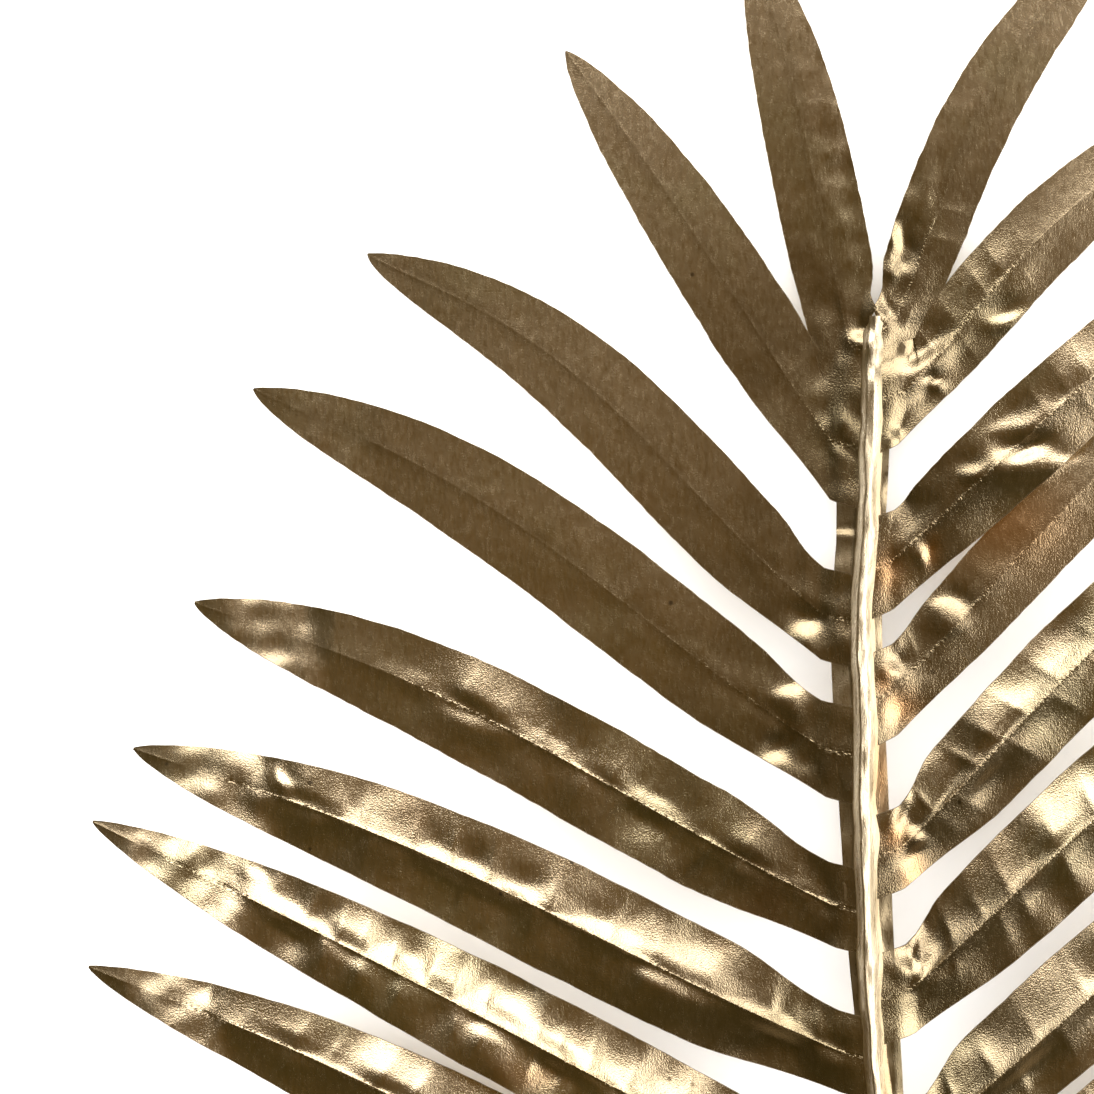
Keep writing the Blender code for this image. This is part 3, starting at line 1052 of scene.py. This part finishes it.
def blade_colour(tree, midrib_shade, at_edge):
    """The foil's colour, with painted shade by the foot and beside the midrib, painted copper reflections, and
    dark at the cut edge.
    """
    tone = written(tree, "tone")
    # painted shade: darker patches towards the foot
    shade_by_foot = times(tree, tone["Y"], patches(tree, 0.42, 0.80))
    shade = mix_colour(tree, shade_by_foot, add_group(tree, foil_colour).outputs["Color"], PAINTED_SHADE)
    # painted reflection: copper where the blade faces the gold beside it
    shade = mix_colour(tree, tone["X"], shade, REFLECTED_COPPER)
    # painted shade beside the midrib
    shade = mix_colour(tree, times(tree, midrib_shade, 0.15), shade, MIDRIB_SHADE)
    return mix_colour(tree, times(tree, at_edge, 0.85), shade, CUT_EDGE)


def blade_material():
    """The foil on the blades."""
    material, tree, shader = metal("blade_foil")
    grain = add_group(tree, foil_grain)
    own = written(tree, "own")
    away = calculate(tree, "ABSOLUTE", own["Y"])
    # how much painted shade lies beside the midrib
    midrib_shade = remap(tree, away, 0.6, 3.2, 1.0, 0.0)
    at_edge = remap(tree, own["Z"], 0.982, 0.995)
    tree.links.new(blade_colour(tree, midrib_shade, at_edge), shader.inputs["Base Color"])

    rough = remap(tree, grain.outputs["Crinkle"], 0.3, 0.7, *SATIN)
    brushed = calculate(tree, "SUBTRACT", grain.outputs["Grain"], 0.5)
    rough = calculate(tree, "MULTIPLY_ADD", brushed, 0.15, rough)
    rough = calculate(tree, "MULTIPLY_ADD", at_edge, 0.3, rough)
    tree.links.new(rough, shader.inputs["Roughness"])

    crumpled = remap(tree, own["X"], 0.1, 0.5)
    on_midrib = times(tree, remap(tree, away, 0.15, 0.75, 1.0, 0.0), crumpled)
    beads = remap(tree, noise(tree, stretched(tree, 900, 900, 900)), 0.42, 0.60)
    glinting = times(tree, grain.outputs["Pores"], remap(tree, own["X"], 0.0, 0.5, 0.35, 1.0))
    normal = bump(tree, times(tree, on_midrib, beads), 0.7, 0.00010)
    normal = bump(tree, grain.outputs["Crinkle"], 0.5, 0.00004, normal)
    normal = bump(tree, grain.outputs["Grain"], 0.7, 0.00006, normal)
    normal = bump(tree, glinting, 0.9, 0.00009, normal)
    tree.links.new(normal, shader.inputs["Normal"])
    return material


blade_foil = blade_material()
print("built", blade_foil.name)

# %% [markdown]
# The same foil is drawn tight over the rib. A paler colour on the crest and the bare stalk is a painted
# highlight, with fibres along it and thin dark cracks between them, and on the webs darker patches are painted
# shade, as at the blades' feet.

# %% The rachis material
# the paler colour of a painted highlight on the crest and the stalk
CREST_HIGHLIGHT = (0.79, 0.69, 0.51, 1)
CRACK = (0.30, 0.22, 0.13, 1)


def rachis_material():
    """The foil on the rib, the webs and the stalk."""
    material, tree, shader = metal("rachis_foil")
    grain = add_group(tree, foil_grain)
    on_rib = remap(tree, written(tree, "own")["X"], 0.05, 0.5)
    fibres = noise(tree, stretched(tree, 1900, 170, 1900), detail=4.0, roughness=0.65)
    in_crack = times(tree, remap(tree, fibres, 0.36, 0.47, 1.0, 0.0), on_rib)
    foil = add_group(tree, foil_colour).outputs["Color"]
    # painted shade: darker patches over the webs and the rib
    shade = mix_colour(tree, patches(tree, 0.38, 0.76), foil, PAINTED_SHADE)
    # painted highlight on the crest and the stalk
    shade = mix_colour(tree, on_rib, shade, CREST_HIGHLIGHT)
    # painted reflection: copper where the rib faces the gold beside it
    shade = mix_colour(tree, written(tree, "tone")["X"], shade, REFLECTED_COPPER)
    shade = mix_colour(tree, times(tree, in_crack, 0.6), shade, CRACK)
    tree.links.new(shade, shader.inputs["Base Color"])
    tree.links.new(remap(tree, fibres, 0.3, 0.7, 0.34, 0.26), shader.inputs["Roughness"])
    normal = bump(tree, times(tree, fibres, on_rib), 0.8, 0.00007)
    normal = bump(tree, grain.outputs["Crinkle"], 0.6, 0.00005, normal)
    tree.links.new(bump(tree, grain.outputs["Pores"], 0.9, 0.00007, normal), shader.inputs["Normal"])
    return material


rachis_foil = rachis_material()
print("built", rachis_foil.name)

# %% [markdown]
# ## Putting the frond together
#
# Each sheet stands for the CAD node of the same place. It rides on the frame's one body, and the CAD node is
# hidden.


# %% Build the pieces
def place_piece(piece, node):
    """Let a piece ride on the body, in the place of its CAD node, which is hidden."""
    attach(piece, "root")
    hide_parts(node)


place_piece(rachis_object(rachis_foil), "rachis")
for hand, side, rows in (("left", -1, LEFT), ("right", 1, RIGHT)):
    for number, row in enumerate(rows, start=1):
        blade = blade_object(f"blade_{hand}_{number:02d}", Blade(*row), side, number, blade_foil)
        place_piece(blade, f"leaflet_{hand}_{number:02d}")

# %% [markdown]
# ## Light, floor and camera
#
# A satin metal shows the room more than its own colour. Metal sees a dark warm studio here: overhead a mid
# brown, darker towards the stalk and the left, and paler down to the floor. All else sees a pale room, met by
# bounced rays alone, so that the metal never reflects it.

# %% The studio
PALE = 2.6
ROOM = ((0.0, (0.34, 0.26, 0.16, 1)), (0.62, (0.078, 0.050, 0.021, 1)), (1.0, (0.122, 0.068, 0.010, 1)))
ROOM_DARK = (0.050, 0.038, 0.008, 1)


def dark_room(tree):
    """The room that the metal sees, as a colour for each direction."""
    place = new_node(tree, "TexCoord").outputs["Generated"]
    direction = new_node(tree, "SeparateXYZ", Vector=place)
    ramp = new_node(tree, "ValToRGB", Fac=direction.outputs["Z"])
    stops = ramp.color_ramp.elements
    stops.new(ROOM[1][0])
    for stop, (position, colour) in zip(stops, ROOM):
        stop.position = position
        stop.color = colour
    toward_stalk = remap(tree, direction.outputs["Y"], -0.08, -0.38)
    toward_left = remap(tree, direction.outputs["X"], -0.12, -0.42)
    shaded = calculate(tree, "MAXIMUM", toward_stalk, toward_left)
    shaded = times(tree, shaded, remap(tree, direction.outputs["Z"], 0.35, 0.7))
    return mix_colour(tree, times(tree, shaded, 0.8), ramp.outputs["Color"], ROOM_DARK)


def studio_world():
    """A pale room for the floor, and a dark one for the metal."""
    world = bpy.data.worlds.new("studio")
    bpy.context.scene.world = world
    world.use_nodes = True
    world.cycles.sampling_method = "NONE"
    tree = world.node_tree
    tree.nodes.clear()
    pale = new_node(tree, "Background", Color=(1.0, 1.0, 1.0, 1), Strength=PALE)
    dark = new_node(tree, "Background", Color=dark_room(tree))
    mix = new_node(tree, "MixShader", Fac=new_node(tree, "LightPath").outputs["Is Glossy Ray"])
    connect(tree, pale.outputs["Background"], mix.inputs[1])
    connect(tree, dark.outputs["Background"], mix.inputs[2])
    new_node(tree, "OutputWorld", Surface=mix.outputs["Shader"])
    return world


print("built the room", studio_world().name)

# %% [markdown]
# A large soft light stands beyond the frond's tip and another to its right, so each face that tilts that way
# turns pale gold.

# %% The lights
LIGHT_COLOUR = (1.0, 0.955, 0.90)
LIGHT_DISTANCE = 4.0


def softbox(name, azimuth, from_overhead, width, height, radiance):
    """A large soft light. Azimuth 0 is towards +X and 90 towards +Y."""
    light = bpy.data.lights.new(name, "AREA")
    light.shape = "RECTANGLE"
    light.size = width
    light.size_y = height
    light.energy = radiance * math.pi * width * height
    light.color = LIGHT_COLOUR
    turn, down = math.radians(azimuth), math.radians(from_overhead)
    away = Vector((math.sin(down) * math.cos(turn), math.sin(down) * math.sin(turn), math.cos(down)))
    lamp = bpy.data.objects.new(name, light)
    lamp.location = away * LIGHT_DISTANCE
    lamp.rotation_euler = away.to_track_quat("Z", "Y").to_euler()
    bpy.context.scene.collection.objects.link(lamp)
    print(name, "stands", from_overhead, "degrees from overhead")


softbox("light_beyond_tip", 88, 47, 4.1, 2.6, 3.7)
softbox("light_right", 8, 50, 2.4, 3.0, 3.4)

# %% [markdown]
# The floor is plain, matt and white, and it is lit mostly by the surroundings, so the shadows stay faint.

# %% The floor
FLOOR_REACH = 60.0
FLOOR_WHITE = (0.90, 0.92)


def plain_floor():
    """A wide white floor."""
    material = bpy.data.materials.new("floor_white")
    material.use_nodes = True
    tree = material.node_tree
    shader = tree.nodes["Principled BSDF"]
    mottle = remap(tree, noise(tree, stretched(tree, 3, 3, 3)), 0.3, 0.7, *FLOOR_WHITE)
    colour = new_node(tree, "CombineColor", Red=mottle, Green=mottle, Blue=mottle)
    tree.links.new(colour.outputs["Color"], shader.inputs["Base Color"])
    shader.inputs["Roughness"].default_value = 0.9
    shader.inputs["Specular IOR Level"].default_value = 0.1
    mesh = bpy.data.meshes.new("floor")
    corners = [(x * FLOOR_REACH, y * FLOOR_REACH, 0) for x, y in ((-1, -1), (1, -1), (1, 1), (-1, 1))]
    mesh.from_pydata(corners, [], [(0, 1, 2, 3)])
    mesh.materials.append(material)
    floor = bpy.data.objects.new("floor", mesh)
    bpy.context.scene.collection.objects.link(floor)
    return floor


floor = plain_floor()
print("the floor reaches", FLOOR_REACH, "m")

# %% [markdown]
# The camera looks straight down with a long lens on the frond's upper left part. Its height and lens fit the
# framed width.

# %% The camera
FRAMED_WIDTH = 306.3
FRAMED_CENTRE = np.array((-89.9, 558.8, 0.0))
CAMERA_HEIGHT = 1.5
SENSOR = 36.0
camera = bpy.data.objects.new("camera", bpy.data.cameras.new("camera"))
camera.data.sensor_width = SENSOR
camera.data.lens = SENSOR * CAMERA_HEIGHT / (FRAMED_WIDTH * MM)
camera.location = Vector(to_frame(FRAMED_CENTRE)) + Vector((0, 0, CAMERA_HEIGHT))
camera.data.clip_start = 0.05
camera.data.clip_end = 300.0
bpy.context.scene.collection.objects.link(camera)
bpy.context.scene.camera = camera
bpy.context.scene.view_settings.view_transform = "Standard"
print("lens", round(camera.data.lens, 1), "mm")
